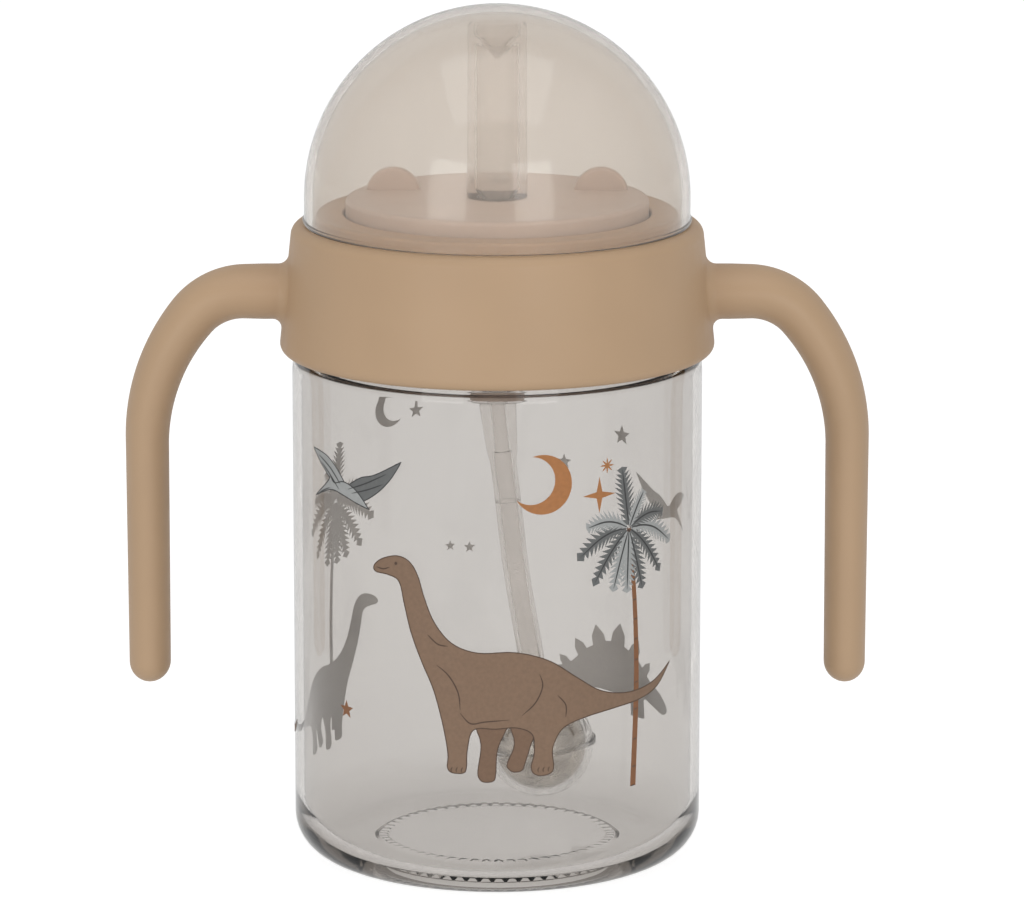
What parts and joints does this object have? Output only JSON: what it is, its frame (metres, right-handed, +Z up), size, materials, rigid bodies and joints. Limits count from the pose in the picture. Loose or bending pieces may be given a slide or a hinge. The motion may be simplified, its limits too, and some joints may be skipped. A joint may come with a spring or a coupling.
{
  "type": "toddler straw cup",
  "caption": "Clear straw cup with a two-handled screw collar, soft spout with slit valve, weighted swinging straw and a domed cover.",
  "frame": {"origin": "middle of the base, on the surface that the cup stands on", "axes": "+Z up along the cup's axis, handles along X, front of the cup towards -Y"},
  "size_m": [0.1308, 0.076, 0.1509],
  "materials": {
    "clear_cup": "clear polished copolyester",
    "beige_plastic": "fine matte moulded polypropylene",
    "lid_plastic": "fine matte moulded polypropylene",
    "silicone": "translucent soft silicone",
    "clear_capsule": "clear polished plastic",
    "steel": "polished stainless steel",
    "smoky_dome": "clear plastic with a light smoky tint"
  },
  "bodies": {
    "cup": {"cup_body": "clear_cup"},
    "inner_lid": {"inner_lid": "lid_plastic", "lid_gasket": "silicone", "vent_valve": "silicone", "straw_spout": "silicone", "straw_connector": "silicone", "straw_tube_socket": "silicone"},
    "collar": {"collar_ring": "beige_plastic", "right_handle": "beige_plastic", "left_handle": "beige_plastic"},
    "dome": {"dome_cover": "smoky_dome"},
    "straw_bend": {"straw_tube_middle": "silicone"},
    "straw_weight": {"straw_tube_lower": "silicone", "weight_cap": "clear_capsule", "weight_base": "clear_capsule", "steel_weight": "steel"}
  },
  "joints": [
    {"name": "collar_twist", "type": "hinge", "parent": "inner_lid", "child": "collar", "pos_m": [0, 0, 0.1], "axis": [0, 0, 1], "range_deg": [0, 450]},
    {"name": "lid_lift", "type": "slide", "parent": "cup", "child": "inner_lid", "axis": [0, 0, 1], "range_m": [0, 0.0063]},
    {"name": "dome_lift", "type": "slide", "parent": "collar", "child": "dome", "axis": [0, 0, 1], "range_m": [0, 0.045]},
    {"name": "straw_swing_side", "type": "hinge", "parent": "inner_lid", "child": "straw_bend", "pos_m": [0.00117, 0, 0.06886], "axis": [0, 1, 0], "range_deg": [-12, 30], "stiffness_Nm_per_rad": 0.01, "springref_deg": -6.39},
    {"name": "straw_swing_front", "type": "hinge", "parent": "straw_bend", "child": "straw_weight", "pos_m": [0.00285, 0, 0.05697], "axis": [1, 0, 0], "range_deg": [-20, 20], "stiffness_Nm_per_rad": 0.01}
  ],
  "couplings": [
    {"joint": "lid_lift", "follows": "collar_twist", "m_per_rad": 0.00079577}
  ]
}
